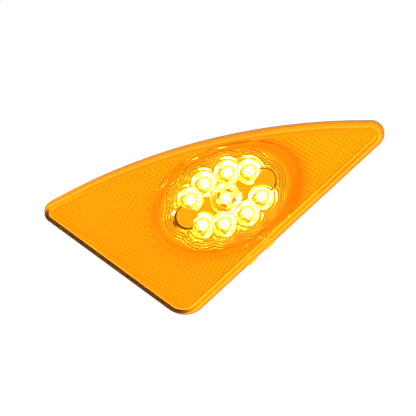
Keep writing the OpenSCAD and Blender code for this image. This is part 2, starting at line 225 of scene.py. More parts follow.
soft_boxes = [soft_box("key_box", (-0.9, -1.1, 1.2), 0.9, 9.0),
              soft_box("fill_box", (1.3, -0.7, 0.5), 0.7, 5.0),
              soft_box("back_box", (0.4, 1.4, 0.9), 0.9, 7.0)]
print("soft boxes:", [lamp.name for lamp in soft_boxes])

# %% [markdown]
# ## The floor
# The lamp is held by its studs, so the floor lies well below it. It is one large plain sheet:
# white to the camera, a little brighter through the lens, dim in reflections as the world is,
# and pale grey paint for all other light.

# %% Lay the floor
FLOOR_DROP = 0.16
FLOOR_SIZE = 6.0
FLOOR_PAINT = (0.8, 0.8, 0.8, 1.0)
FLOOR_WHITE = 0.9
FLOOR_GLOW = 1.1
FLOOR_THROUGH = 0.45

floor_mesh = bmesh.new()
bmesh.ops.create_grid(floor_mesh, x_segments=1, y_segments=1, size=FLOOR_SIZE / 2)
bmesh.ops.translate(floor_mesh, verts=floor_mesh.verts, vec=(0, 0, cad_box[0].z - FLOOR_DROP))
floor_data = bpy.data.meshes.new("floor")
floor_mesh.to_mesh(floor_data)
floor_mesh.free()
floor = bpy.data.objects.new("floor", floor_data)
scene.collection.objects.link(floor)
paint = bpy.data.materials.new("floor_paint")
ground = Nodes(paint)
floor_seen = ground.node("LightPath", result="Is Camera Ray")
floor_through = ground.node("LightPath", result="Is Transmission Ray")
lit = ground.node("BsdfDiffuse", sockets={"Color": FLOOR_PAINT})
glow = ground.node("Emission", sockets={"Color": WHITE,
                                        "Strength": FLOOR_GLOW + floor_through * FLOOR_THROUGH})
either = ground.node("Math", {"operation": "MAXIMUM"}, {0: floor_seen, 1: floor_through})
mixed = ground.node("MixShader", sockets={0: either * FLOOR_WHITE, 1: lit, 2: glow})
floor_gloss = ground.node("LightPath", result="Is Glossy Ray") * (1.0 - floor_through)
back_along = ground.node("NewGeometry", result="Incoming")
floor_ahead = ground.node("SeparateXYZ", sockets={"Vector": back_along}, result="Y")
mirrored = by_direction(ground, GLOSS_STOPS, floor_ahead)
dim = ground.node("Emission", sockets={"Color": WHITE, "Strength": mirrored})
mixed = ground.node("MixShader", sockets={0: floor_gloss, 1: mixed, 2: dim})
ground.node("OutputMaterial", sockets={"Surface": mixed})
floor_data.materials.append(paint)
print("floor at", round(cad_box[0].z - FLOOR_DROP, 3))

# %% [markdown]
# ## The bench
# New pieces are built on a bench of their own, in millimetres, with the panel as the bench top:
# X along the fender, Y up the fender, and Z out of it. One matrix then takes a finished piece to
# the shared frame, where outwards is -Y. The LED pattern lies at a tilt on the bench. Points
# nearer than JOIN become one where a drawn outline closes. A normal whose part along some
# direction is over ALMOST points that way, and one whose Z is over UPWARD looks up.

# %% From the bench to the frame
TO_FRAME = Matrix.Rotation(math.radians(90), 4, "X") @ Matrix.Scale(MM, 4)
TILT_ANGLE = math.radians(26.4)
TILT = Matrix.Rotation(TILT_ANGLE, 4, "Z")
SHARP = math.radians(32)
MERGE = 0.001
JOIN = 0.01
ALMOST = 0.99
UPWARD = 0.3


def shade(mesh, sharp):
    """Smooths the faces, and leaves the edges sharper than an angle crisp."""
    for face in mesh.faces:
        face.smooth = True
    for edge in mesh.edges:
        edge.smooth = len(edge.link_faces) == 2 and edge.calc_face_angle() < sharp


def object_of(name, mesh):
    """Puts a bmesh in an object of its own, and frees it."""
    data = bpy.data.meshes.new(name)
    mesh.to_mesh(data)
    mesh.free()
    made = bpy.data.objects.new(name, data)
    scene.collection.objects.link(made)
    return made


def piece(name, mesh, materials, slot, *replaced, sharp=SHARP):
    """Takes a bench solid to the shared frame as a finished piece that stands for CAD nodes."""
    bmesh.ops.transform(mesh, matrix=TO_FRAME, verts=mesh.verts)
    shade(mesh, sharp)
    made = object_of(name, mesh)
    for material in materials:
        made.data.materials.append(material)
    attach(made, "root")
    if replaced:
        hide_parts(*replaced)
    print(name, "faces:", len(made.data.polygons))
    return made


def paint_faces(faces, number):
    """Gives faces one of their piece's materials."""
    for face in faces:
        face.material_index = number


def even_shading(made):
    """Lets the large flat faces set the normals where they meet a rounding."""
    made.modifiers.new("even_shading", "WEIGHTED_NORMAL").keep_sharp = True


print("bench ready")

# %% [markdown]
# ## The outline
# The lamp's outline is three corner arcs, two straight sides and one long arched side. A single
# vertex spun about an arc's centre leaves the arc behind it, so the outline needs only the
# corners' places and radii. The long side's arc touches the left corner's arc and the tip's
# from inside, which fixes its centre. The dish's window and its rolled rim are ovals, given by
# their half length U and half height V.

# %% The lamp's outline
LEFT = Vector((-102.8, -9.5, 0))
BOTTOM = Vector((-25.0, -55.3, 0))
TIP = Vector((86.1, 39.0, 0))
LEFT_R = 7.4
BOTTOM_R = 15.6
TIP_R = 7.8
TOP_R = 396.0
WINDOW_U = 44.0
WINDOW_V = 28.0
ROLL = 6.4
ROLL_V = ROLL * 0.55
RIM_U = WINDOW_U + ROLL
RIM_V = WINDOW_V + ROLL_V
CORNER_STEP = math.radians(4)
TOP_STEP = math.radians(0.5)


def bearing(vector):
    """The direction of a vector on the bench, as an angle."""
    return math.atan2(vector.y, vector.x)


def side_bearing(start, end, start_r, end_r):
    """The direction in which a straight side between two corner arcs faces."""
    span = end - start
    return bearing(span) - math.acos((start_r - end_r) / span.length)


def top_centre():
    """The centre of the long arched side."""
    span = (TIP - LEFT).length
    along = (TIP - LEFT) / span
    reach = TOP_R - LEFT_R
    other = TOP_R - TIP_R
    foot = (reach ** 2 - other ** 2 + span ** 2) / (2 * span)
    return LEFT + along * foot + math.sqrt(reach ** 2 - foot ** 2) * Vector((along.y, -along.x, 0))


TOP = top_centre()
LOWER_LEFT = side_bearing(LEFT, BOTTOM, LEFT_R, BOTTOM_R)
LOWER_RIGHT = side_bearing(BOTTOM, TIP, BOTTOM_R, TIP_R)
ARCS = [(BOTTOM, BOTTOM_R, LOWER_LEFT, LOWER_RIGHT, CORNER_STEP),
        (TIP, TIP_R, LOWER_RIGHT, bearing(TIP - TOP), CORNER_STEP),
        (TOP, TOP_R, bearing(TIP - TOP), bearing(LEFT - TOP), TOP_STEP),
        (LEFT, LEFT_R, bearing(LEFT - TOP), LOWER_LEFT + 2 * math.pi, CORNER_STEP)]


def outline_face(inset, height):
    """A bmesh with one face: the lamp's outline, drawn in by an inset."""
    mesh = bmesh.new()
    for centre, radius, start, end, step in ARCS:
        place = centre + (radius - inset) * Vector((math.cos(start), math.sin(start), 0))
        first = bmesh.ops.create_vert(mesh, co=place)["vert"]
        bmesh.ops.spin(mesh, geom=first, cent=centre, axis=(0, 0, 1), angle=end - start,
                       steps=math.ceil((end - start) / step), use_duplicate=False)
    bmesh.ops.remove_doubles(mesh, verts=mesh.verts, dist=JOIN)
    loose_ends = [v for v in mesh.verts if len(v.link_edges) == 1]
    while loose_ends:
        last = loose_ends.pop(0)
        nearest = partner(last, loose_ends)
        loose_ends.remove(nearest)
        bmesh.ops.contextual_create(mesh, geom=[last, nearest])
    bmesh.ops.contextual_create(mesh, geom=mesh.edges)
    bmesh.ops.translate(mesh, verts=mesh.verts, vec=(0, 0, height))
    mesh.normal_update()
    if mesh.faces[:][0].normal.z < 0:
        bmesh.ops.reverse_faces(mesh, faces=mesh.faces)
    return mesh


def partner(end, others):
    """The loose end across a straight side: the side runs square to the arc's radius."""
    inward = end.link_edges[0].other_vert(end).co - end.co
    outward = -inward.normalized()
    return [v for v in others if (v.co - end.co).normalized().dot(outward) > ALMOST][0]


outline = outline_face(0.0, 0.0)
print("outline points:", len(outline.verts), "area mm2:", round(outline.faces[:][0].calc_area()))
outline.free()

# %% [markdown]
# ## The finishes
# Every finish starts from the same few steps: noise on the piece's own coordinates, which stays
# with the surface from any side, then a bump or a change of roughness from it. The helpers take
# sizes in millimetres, because that is how a moulder would name a grain. FINE is the detail of
# noise for grain and small marks.

# %% Noise and bump in millimetres
NOISE_LOW = 0.3
NOISE_HIGH = 0.7
FINE = 3.0


def finish(name):
    """A new material and its empty node tree."""
    material = bpy.data.materials.new(name)
    return material, Nodes(material)


def place_of(tree):
    """The place of a surface point in the shared frame."""
    return tree.node("TexCoord", result="Object")


def noise(tree, feature_mm, detail=2.0):
    """Soft noise, from 0 to 1, whose features are about the size asked for."""
    return tree.node("TexNoise", sockets={"Vector": place_of(tree), "Detail": detail,
                                          "Scale": 1 / (feature_mm * MM)})


def bumped(tree, height, depth_mm):
    """The normal of a surface with a relief of that depth."""
    return tree.node("Bump", sockets={"Height": height, "Distance": depth_mm * MM,
                                      "Strength": 1.0})


def spread(tree, value, low, high):
    """Stretches noise, which rarely leaves its middle, to the range from low to high."""
    return tree.node("MapRange", sockets={"Value": value, "From Min": NOISE_LOW,
                                          "From Max": NOISE_HIGH, "To Min": low, "To Max": high})


def blend_colours(tree, share, first, second):
    """One colour turning into another, as the share goes from 0 to 1."""
    return tree.node("Mix", {"data_type": "RGBA"},
                     {0: share, 6: rgba(first), 7: rgba(second)}, result=2)


def rgba(colour):
    """A colour as a socket takes it."""
    return colour if isinstance(colour, Socket) else (*colour, 1.0)


def finished(tree, sockets):
    """Ends a material in one Principled shader."""
    surface = tree.node("BsdfPrincipled", sockets=sockets)
    tree.node("OutputMaterial", sockets={"Surface": surface})


print("noise, bump and colour helpers ready")

# %% [markdown]
# The lens is clear amber acrylic. It could be tinted by absorption inside the wall, but the tint
# on the surface gives the same colour at this thickness, and it lasts in any viewer. Light that
# goes in, meets the bright reflector and comes out again is tinted twice, which makes the deep
# orange. The dish's floor is thinner and lighter. Its rolled edge is painted a deeper amber, more
# on the right, as painted shade where the roll turns away from the light. Every prism carries a
# painted highlight, a lighter spot at its point. The wall also pipes light from the LEDs to its
# sloping sides, and a soft emission there stands for it. The lower left side has almost none,
# and the sealant shows through the wall there as a dark stripe.

# %% Amber acrylic
AMBER_LIGHT = (1.0, 0.5, 0.022)
# The deeper amber of the painted shade on the dish's rolled edge.
AMBER_DEEP = (1.0, 0.48, 0.02)
AMBER_SHADE = (1.0, 0.42, 0.015)
AMBER_THIN = (1.0, 0.58, 0.042)
THIN_STOPS = [(0.0, 1.0), (0.38, 1.0), (0.43, 0.0)]
# Where that painted shade falls: more to the right, and across the rolled edge.
SHADE_SIDE = (-60.0, 40.0)
SHADE_STOPS = [(0.4, 0.0), (0.44, 0.8), (0.49, 1.0), (0.52, 0.5), (0.56, 0.0)]
EDGE_GLOW = (0.45, 0.17, 0.0)
DIM_GLOW = (0.035, 0.01, 0.04)
NO_GLOW = (0.0, 0.0, 0.0)
DARK_SIDE = (2.0, 8.0)
ACRYLIC_IOR = 1.49
ACRYLIC_SHINE = 0.15
POLISH = (0.0, 0.03)
TINT_MM = 30.0
HAZE_MM = 4.0
WAVY_MM = 12.0
WAVY_DEEP = 0.01
PRISM_PITCH = 2.34
PRISM_TURN = math.radians(-30)
CELL_MIDDLE = (0.5, 0.5, 0.5)
IN_PANEL = (1, 0, 1)
LEAST_THICK = 0.2
# The painted highlight over each prism's point, and how it fades from the point.
AMBER_GLINT = (1.0, 0.88, 0.05)
GLINT_STOPS = [(0.0, 1.0), (0.18, 0.9), (0.34, 0.1), (0.5, 0.0)]


def by_reach(tree, stops):
    """A grey that depends on the reach from the dish's middle: half is the dish's rim."""
    along = tree.node("VectorRotate", {"rotation_type": "Y_AXIS"},
                      {"Vector": place_of(tree), "Angle": TILT_ANGLE})
    scaled = tree.node("VectorMath", {"operation": "MULTIPLY"},
                       {0: along, 1: (1 / (RIM_U * MM), 0.0, 1 / (RIM_V * MM))})
    reach = tree.node("VectorMath", {"operation": "LENGTH"}, {0: scaled}, result="Value")
    return tree.node("ValToRGB", {"stops": stops}, {"Fac": reach * 0.5})


def dish_shade(tree):
    """How much painted shade falls on the dish's rolled edge, from 0 to 1, and more on the right.
    """
    across = tree.node("SeparateXYZ", sockets={"Vector": place_of(tree)}, result="X")
    right = tree.node("MapRange", sockets={"Value": across, "To Min": LEAST_THICK,
                                           "From Min": SHADE_SIDE[0] * MM,
                                           "From Max": SHADE_SIDE[1] * MM})
    return by_reach(tree, SHADE_STOPS) * right


def off_dark_side(tree):
    """From 0 along the lower left side to 1 a few millimetres away from it."""
    facing = Vector((math.cos(LOWER_LEFT), 0.0, math.sin(LOWER_LEFT)))
    edge = LEFT_R + LEFT.x * facing.x + LEFT.y * facing.z
    reach = tree.node("VectorMath", {"operation": "DOT_PRODUCT"},
                      {0: place_of(tree), 1: facing / MM}, result="Value")
    return tree.node("MapRange", {"interpolation_type": "SMOOTHSTEP"},
                     {"Value": edge - reach, "From Min": DARK_SIDE[0], "From Max": DARK_SIDE[1]})


def prism_glints(tree):
    """A painted highlight over every prism's point, fading to nothing at the prism's edge."""
    turned = tree.node("VectorRotate", {"rotation_type": "Y_AXIS"},
                       {"Vector": place_of(tree), "Angle": PRISM_TURN})
    cells = tree.node("VectorMath", {"operation": "SCALE"},
                      {"Vector": turned, "Scale": 1 / (PRISM_PITCH * MM)})
    in_cell = tree.node("VectorMath", {"operation": "FRACTION"}, {0: cells})
    from_middle = tree.node("VectorMath", {"operation": "SUBTRACT"}, {0: in_cell, 1: CELL_MIDDLE})
    flat = tree.node("VectorMath", {"operation": "MULTIPLY"}, {0: from_middle, 1: IN_PANEL})
    reach = tree.node("VectorMath", {"operation": "LENGTH"}, {0: flat}, result="Value")
    return tree.node("ValToRGB", {"stops": GLINT_STOPS}, {"Fac": reach})


def amber_acrylic(name, glow, dim_glow, prisms):
    """Polished clear amber, with the faint waviness of a moulding."""
    material, tree = finish(name)
    even = blend_colours(tree, noise(tree, TINT_MM), AMBER_LIGHT, AMBER_DEEP)
    if prisms:
        # Painted highlights: a lighter spot over each prism's point.
        even = blend_colours(tree, prism_glints(tree), even, AMBER_GLINT)
    thinned = blend_colours(tree, by_reach(tree, THIN_STOPS), even, AMBER_THIN)
    # Painted shade: the dish's rolled edge turns a deeper amber, more on the right.
    colour = blend_colours(tree, dish_shade(tree), thinned, AMBER_SHADE)
    light = blend_colours(tree, off_dark_side(tree), dim_glow, glow)
    finished(tree, {"Base Color": colour, "IOR": ACRYLIC_IOR, "Transmission Weight": 1.0,
                    "Roughness": spread(tree, noise(tree, HAZE_MM), *POLISH),
                    "Specular IOR Level": ACRYLIC_SHINE,
                    "Emission Color": light, "Emission Strength": 1.0,
                    "Normal": bumped(tree, noise(tree, WAVY_MM, 0.0), WAVY_DEEP)})
    return material


amber = amber_acrylic("amber_acrylic", NO_GLOW, NO_GLOW, False)
amber_edge = amber_acrylic("amber_edge", EDGE_GLOW, DIM_GLOW, False)
amber_prisms = amber_acrylic("amber_prisms", NO_GLOW, NO_GLOW, True)
print("made", amber.name, amber_edge.name, amber_prisms.name)

# %% [markdown]
# Most of the other pieces have a finish of two close tones, with patches of haze and a relief,
# each of its own size. One function makes them all. The reflector is a moulding with a vacuum
# coat of aluminium, bright but not a perfect mirror. Its waves have a duller coat, and the far
# side of each wave is painted darker, a painted shade that draws the lines between the terraces.

# %% Two-tone finishes and bright metal coats
METAL = {"Metallic": 1.0}
BRIGHT = ((0.93, 0.93, 0.93), (0.86, 0.86, 0.87))


def two_tone(name, tones, tone_mm, haze, haze_mm, grain_mm, relief_mm, detail=2.0, fixed=None):
    """Two tones in patches, roughness between two values, and a grain with its relief."""
    material, tree = finish(name)
    sockets = {"Base Color": blend_colours(tree, noise(tree, tone_mm), *tones),
               "Roughness": spread(tree, noise(tree, haze_mm), *haze),
               "Normal": bumped(tree, noise(tree, grain_mm, detail), relief_mm)}
    finished(tree, sockets | (fixed or {}))
    return material


def coat(name, tones, haze):
    """Vacuum-plated plastic."""
    return two_tone(name, tones, tone_mm=5.0, haze=haze, haze_mm=1.2, grain_mm=2.5,
                    relief_mm=0.01, fixed=METAL)


plating = coat("bright_coat", BRIGHT, (0.04, 0.09))
wave_coat = coat("wave_coat", BRIGHT, (0.16, 0.22))
# Painted shade: a darker, brownish coat for the falling side of each wave.
wave_shade = coat("wave_shade", ((0.5, 0.4, 0.36), (0.44, 0.35, 0.32)), (0.16, 0.22))
print("made", plating.name, wave_coat.name, wave_shade.name)

# %% [markdown]
# The black housing is grained plastic, and the gasket is closed-cell foam. The lens's wall pipes
# light down to the sealing bead and to the housing's faces inside the lens, so these two glow
# orange with painted light, and the bead is painted lighter too. On the lower left side, where
# the wall stays dark, both stay dark too.

# %% Black plastic, foam and sealant
DULL = 0.1
MATT = (0.8, 0.9)
PATCH_MM = 8.0
BEAD_UNEVEN = 0.02
PIPED_GLOW = (0.35, 0.12, 0.0)
PIPED_DIM = (0.02, 0.008, 0.03)
BEAD_PAINTED_LIGHT = (0.95, 0.5, 0.05)
FOAM_MM = 0.5
FOAM_DEEP = 0.12


def gasket_foam():
    """Closed-cell foam: dull grey with small cells."""
    material, tree = finish("gasket_foam")
    cells = tree.node("TexVoronoi", sockets={"Vector": place_of(tree),
                                             "Scale": 1 / (FOAM_MM * MM)})
    colour = blend_colours(tree, spread(tree, cells, 0.0, 1.0), (0.11, 0.1, 0.12),
                           (0.17, 0.16, 0.18))
    finished(tree, {"Base Color": colour, "Roughness": MATT[1],
                    "Normal": bumped(tree, cells, FOAM_DEEP)})
    return material


def piped_glow(name, tones, tone_mm, lit=None):
    """Dull dark plastic with a painted glow; a lit colour paints a bead lighter, with uneven
    relief.
    """
    material, tree = finish(name)
    colour = blend_colours(tree, noise(tree, tone_mm), *tones)
    # Painted light: an orange glow for the light the lens pipes in, dim on the lower left side.
    light = blend_colours(tree, off_dark_side(tree), PIPED_DIM, PIPED_GLOW)
    sockets = {"Base Color": colour, "Roughness": spread(tree, noise(tree, PATCH_MM), *MATT),
               "Specular IOR Level": DULL, "Emission Color": light, "Emission Strength": 1.0}
    if lit:
        # Painted light: the bead's colour turns lighter away from the dark side.
        sockets["Base Color"] = blend_colours(tree, off_dark_side(tree), colour, lit)
        sockets["Normal"] = bumped(tree, noise(tree, PATCH_MM), BEAD_UNEVEN)
    finished(tree, sockets)
    return material


housing_black = two_tone("housing_black", ((0.03, 0.029, 0.032), (0.044, 0.042, 0.046)),
                         tone_mm=8.0, haze=(0.42, 0.6), haze_mm=0.6, grain_mm=0.5,
                         relief_mm=0.05, detail=FINE)
# The housing's faces inside the lens: dark plastic with a painted orange glow.
housing_rim = piped_glow("housing_rim", ((0.01, 0.008, 0.008), (0.014, 0.012, 0.012)), PATCH_MM)
sealant = piped_glow("bead_sealant", ((0.01, 0.005, 0.004), (0.014, 0.006, 0.005)), 3.0, BEAD_PAINTED_LIGHT)
foam = gasket_foam()
print("made", housing_black.name, housing_rim.name, sealant.name, foam.name)

# %% [markdown]
# Next come the metals: zinc on the studs and the board's screws, bright nickel on the
# reflector's screws, tin on the brass blades and bare aluminium on the capacitor's can. They
# differ in colour, haze and in the scale of their marks. The small moulded parts and the board
# end the list.

# %% Metals, board, chips and vent
METAL_PATCH = 3
PLASTIC_PATCH = 4
SATIN = (0.5, 0.7)


def metal(name, tones, mark_mm, haze, relief_mm):
    """A metal with fine marks, and two tones in patches a few marks wide."""
    return two_tone(name, tones, mark_mm * METAL_PATCH, haze, mark_mm, mark_mm, relief_mm, FINE,
                    METAL)


def moulded(name, tones, grain_mm, relief_mm):
    """A dark, fine-grained plastic."""
    return two_tone(name, tones, grain_mm * PLASTIC_PATCH, SATIN, grain_mm, grain_mm, relief_mm,
                    FINE)


zinc = metal("plated_steel", ((0.66, 0.67, 0.7), (0.56, 0.57, 0.6)), 0.6, (0.25, 0.45), 0.01)
tinned = metal("tinned_brass", ((0.8, 0.76, 0.62), (0.7, 0.66, 0.52)), 0.8, (0.2, 0.35), 0.008)
nickel = metal("bright_nickel", ((0.9, 0.89, 0.87), (0.86, 0.85, 0.83)), 0.8, (0.08, 0.14), 0.004)
can = metal("can_aluminium", ((0.82, 0.82, 0.83), (0.74, 0.74, 0.75)), 0.5, (0.25, 0.4), 0.006)
chip = moulded("chip_black", ((0.02, 0.02, 0.022), (0.032, 0.032, 0.034)), 0.15, 0.02)
vent_cap = moulded("vent_black", ((0.03, 0.03, 0.034), (0.045, 0.045, 0.05)), 0.3, 0.03)
# Painted shade: a dark brown for the leaning walls of the wells.
well_shade = moulded("well_shade", ((0.07, 0.045, 0.03), (0.1, 0.06, 0.04)), 0.4, 0.02)
board_finish = two_tone("board", ((0.22, 0.075, 0.03), (0.17, 0.055, 0.022)), tone_mm=3.0,
                        haze=(0.35, 0.5), haze_mm=1.0, grain_mm=0.4, relief_mm=0.02)
print("made", zinc.name, tinned.name, nickel.name, can.name, chip.name, vent_cap.name,
      well_shade.name, board_finish.name)

# %% [markdown]
# ## The lens
# The lens body rises from the outline's face: an extrusion for the straight foot, then region
# insets that move in and up a step at a time, for the sloping side and its rounding. The inside
# is the same shape, a wall's thickness smaller, so one function makes both.

# %% Walls, slopes and roundings
FOOT = 4.5
LENS_TOP = 20.5
STRAIGHT = 4.0
BEVEL = 3.4
SLOPE_IN = BEVEL * 0.6
ROUNDING = 2.2
ROUND_STEPS = 8
WALL = 2.4
FACE = 2.5
OVERLAP = 1.0


def slab(inset, low, high):
    """A flat plate of the lamp's outline."""
    mesh = outline_face(inset, low)
    base = mesh.faces[:][0]
    grown = bmesh.ops.extrude_face_region(mesh, geom=[base])["geom"]
    moved = [v for v in grown if isinstance(v, bmesh.types.BMVert)]
    bmesh.ops.translate(mesh, verts=moved, vec=(0, 0, high - low))
    bmesh.ops.recalc_face_normals(mesh, faces=mesh.faces)
    return mesh


def shell(wall, face, foot):
    """The outside of the lens, or with a wall and a face thickness, its inside."""
    mesh = slab(wall, foot, FOOT + STRAIGHT)
    top = max(mesh.faces, key=lambda f: f.calc_center_median().z)
    inset = 0.0
    height = FOOT + STRAIGHT
    for step in range(ROUND_STEPS + 1):
        turn = math.radians(90) * step / ROUND_STEPS
        next_inset = SLOPE_IN + (BEVEL - SLOPE_IN) * (1 - math.cos(turn))
        next_height = LENS_TOP - face - ROUNDING * (1 - math.sin(turn))
        bmesh.ops.inset_region(mesh, faces=[top], thickness=next_inset - inset,
                               depth=next_height - height, use_even_offset=True)
        inset = next_inset
        height = next_height
    return mesh


outside = shell(0.0, 0.0, FOOT)
inside = shell(WALL, FACE, FOOT - OVERLAP)
print("outside faces:", len(outside.faces), "inside faces:", len(inside.faces))

# %% [markdown]
# The oval dish over the LEDs has a rolled edge. It is a stack of ovals: each oval is a circle,
# scaled and moved to its height, and bridging one oval to the next makes the rolled wall.

# %% The oval dish
DISH = 4.0
LENS_SHARP = math.radians(14)
ROLL_STEPS = 14
OVAL_POINTS = 160
UNDER_GROW = 1.0
UNDER_DROP = 2.2


def oval_stack(rings):
    """A closed solid through ovals, each given as half length, half height and height."""
    mesh = bmesh.new()
    last_edges = []
    for number, (half_u, half_v, height) in enumerate(rings):
        cap = number in (0, len(rings) - 1)
        ring = bmesh.ops.create_circle(mesh, cap_ends=cap, radius=1.0, segments=OVAL_POINTS,
                                       matrix=TILT)["verts"]
        bmesh.ops.scale(mesh, vec=(half_u, half_v, 1), verts=ring, space=TILT.inverted())
        bmesh.ops.translate(mesh, verts=ring, vec=(0, 0, height))
        edges = list({e for v in ring for e in v.link_edges})
        if last_edges:
            bmesh.ops.bridge_loops(mesh, edges=last_edges + edges)
        last_edges = edges
    bmesh.ops.recalc_face_normals(mesh, faces=mesh.faces)
    return mesh


def dish_rings(grow, drop):
    """The rolled wall of the dish, from its floor to its rim."""
    rings = []
    for step in range(ROLL_STEPS + 1):
        share = step / ROLL_STEPS
        rings.append((WINDOW_U + grow + ROLL * share, WINDOW_V + grow + ROLL_V * share,
                      LENS_TOP - DISH - drop + DISH * (1 - math.cos(math.pi * share)) / 2))
    return rings


dish_hollow = oval_stack(dish_rings(0.0, 0.0) + [(RIM_U, RIM_V, LENS_TOP + OVERLAP)])
dish_back = oval_stack(dish_rings(UNDER_GROW, UNDER_DROP))
print("dish faces:", len(dish_hollow.faces), "its back:", len(dish_back.faces))

# %% [markdown]
# Behind the flat face the moulding carries small square pyramids that throw light back. A grid
# whose every cell is poked down to a point is that field, so a grid and a poke make it, with no
# list of points. Raising its border into the face closes the solid.

# %% The reflex prisms
PRISM_DEPTH = 0.4
PRISM_SEAT = 0.06
PRISM_ROWS = 96
REFLEX_INSET = 6.6


def prism_field(base, rise):
    """A closed plate of pyramids that point down from a base height."""
    mesh = bmesh.new()
    bmesh.ops.create_grid(mesh, x_segments=PRISM_ROWS, y_segments=PRISM_ROWS,
                          size=PRISM_PITCH * PRISM_ROWS / 2)
    border = [e for e in mesh.edges if len(e.link_faces) == 1]
    bmesh.ops.poke(mesh, faces=mesh.faces, offset=-PRISM_DEPTH, center_mode="MEAN")
    raised = bmesh.ops.extrude_edge_only(mesh, edges=border)["geom"]
    upper = [v for v in raised if isinstance(v, bmesh.types.BMVert)]
    bmesh.ops.translate(mesh, verts=upper, vec=(0, 0, rise))
    rim = [e for e in raised if isinstance(e, bmesh.types.BMEdge) and len(e.link_faces) == 1]
    bmesh.ops.contextual_create(mesh, geom=rim)
    bmesh.ops.rotate(mesh, verts=mesh.verts, cent=(0, 0, 0),
                     matrix=Matrix.Rotation(PRISM_TURN, 3, "Z"))
    bmesh.ops.translate(mesh, verts=mesh.verts, vec=(0, 0, base))
    bmesh.ops.recalc_face_normals(mesh, faces=mesh.faces)
    return mesh


prisms = prism_field(LENS_TOP - FACE - PRISM_SEAT, OVERLAP)
print("prism faces:", len(prisms.faces))

# %% [markdown]
# The lens is then put together as the mould is: the inside, without the dish's back and the
# prisms, is cut from the outside, and the dish is cut last. Boolean modifiers do the cutting,
# because the dish's rim runs into the sloping sides, where no simple inset could follow it.

# %% Cut and join solids
def combine(target, tool, operation):
    """Cuts a bench solid with another, joins them or keeps what they share."""
    target = object_of("target", target)
    tool = object_of("tool", tool)
    modifier = target.modifiers.new("combine", "BOOLEAN")
    modifier.object = tool
    modifier.operation = operation
    modifier.solver = "MANIFOLD"
    bpy.context.view_layer.update()
    shaped = target.evaluated_get(bpy.context.evaluated_depsgraph_get())
    mesh = bmesh.new()
    mesh.from_mesh(shaped.data)
    for used in (target, tool):
        data = used.data
        bpy.data.objects.remove(used)
        bpy.data.meshes.remove(data)
    return mesh


field = combine(prisms, slab(REFLEX_INSET, LENS_TOP - FACE - DISH, LENS_TOP), "INTERSECT")
field = combine(field, oval_stack([(RIM_U, RIM_V, 0.0), (RIM_U, RIM_V, LENS_TOP + OVERLAP)]),
                "DIFFERENCE")
print("reflex field faces:", len(field.faces))

# %% [markdown]
# Two small lugs on the lower right side locate the lens. After the cuts the faces are painted:
# the sloping sides and the foot with the glowing amber, and the prisms with the one that carries
# the painted highlights.

# %% The locating lugs
LUG_LENGTH = 6.0
LUG_PROUD = 1.0
LUG_BURIED = 1.0
LUG_HIGH = 2.0
LUG_START = 38.5
LUG_PITCH = 14.5
WALL_TILT = (-0.05, 0.5)
PRISM_TILT = 0.8


def lug(number):
    """A small block that stands proud of the lower right side."""
    side = Vector((-math.sin(LOWER_RIGHT), math.cos(LOWER_RIGHT), 0))
    out = Vector((math.cos(LOWER_RIGHT), math.sin(LOWER_RIGHT), 0))
    along = side * (LUG_START + number * LUG_PITCH + LUG_LENGTH / 2)
    centre = BOTTOM + BOTTOM_R * out + along + out * (LUG_PROUD - LUG_BURIED) / 2
    mesh = bmesh.new()
    bmesh.ops.create_cube(mesh, size=1.0)
    bmesh.ops.scale(mesh, vec=(LUG_PROUD + LUG_BURIED, LUG_LENGTH, LUG_HIGH), verts=mesh.verts)
    bmesh.ops.rotate(mesh, verts=mesh.verts, cent=(0, 0, 0),
                     matrix=Matrix.Rotation(LOWER_RIGHT, 3, "Z"))
    bmesh.ops.translate(mesh, verts=mesh.verts, vec=centre + Vector((0, 0, FOOT + LUG_HIGH / 2)))
    return mesh


def on_edge(face):
    """True on the sloping sides, whose faces look away from the middle, and under the foot."""
    centre = face.calc_center_median()
    outward = face.normal.x * centre.x + face.normal.y * centre.y > 0
    under_foot = face.normal.z < -ALMOST and centre.z < FOOT + MERGE
    return under_foot or outward and WALL_TILT[0] < face.normal.z < WALL_TILT[1]


def on_prism(face):
    """True on the prisms, the only faces that look down at a slant from the face's back."""
    high = face.calc_center_median().z > LENS_TOP - FACE - PRISM_SEAT - PRISM_DEPTH - MERGE
    return high and -ALMOST < face.normal.z < -PRISM_TILT


for number in range(2):
    outside = combine(outside, lug(number), "UNION")
hollow = combine(inside, dish_back, "DIFFERENCE")
hollow = combine(hollow, field, "DIFFERENCE")
lens_body = combine(outside, hollow, "DIFFERENCE")
lens_body = combine(lens_body, dish_hollow, "DIFFERENCE")
lens_body.normal_update()
paint_faces([f for f in lens_body.faces if on_edge(f)], 1)
paint_faces([f for f in lens_body.faces if on_prism(f)], 2)
even_shading(piece("lens_shell", lens_body, [amber, amber_edge, amber_prisms], "amber_lens",
                   "lens", sharp=LENS_SHARP))

# %% [markdown]
# ## Fair copies of CAD solids
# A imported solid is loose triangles. Where its shape is right but its roundings should look round,
# a copy is merged and shaded smooth, and the copy stands for the node. The housing's faces inside
# the lens, which lie above the lens's foot or look up at it, take the finish that glows.

# %% Merge and shade copies
FLAT = math.radians(0.4)


def bench_copy(node):
    """A CAD solid's mesh on the bench, with its loose triangles merged."""
    mesh = bmesh.new()
    mesh.from_mesh(nodes[node].data)
    bmesh.ops.transform(mesh, matrix=TO_FRAME.inverted(), verts=mesh.verts)
    bmesh.ops.remove_doubles(mesh, verts=mesh.verts, dist=MERGE)
    return mesh


shell_copy = bench_copy("housing")
bmesh.ops.dissolve_limit(shell_copy, angle_limit=FLAT, verts=shell_copy.verts,
                         edges=shell_copy.edges)
shell_copy.normal_update()
rim_faces = [f for f in shell_copy.faces
             if f.calc_center_median().z > FOOT + MERGE or f.normal.z > UPWARD]
paint_faces(rim_faces, 1)
print("housing faces inside the lens:", len(rim_faces))
even_shading(piece("housing_shell", shell_copy, [housing_black, housing_rim],
                   "housing_black", "housing"))

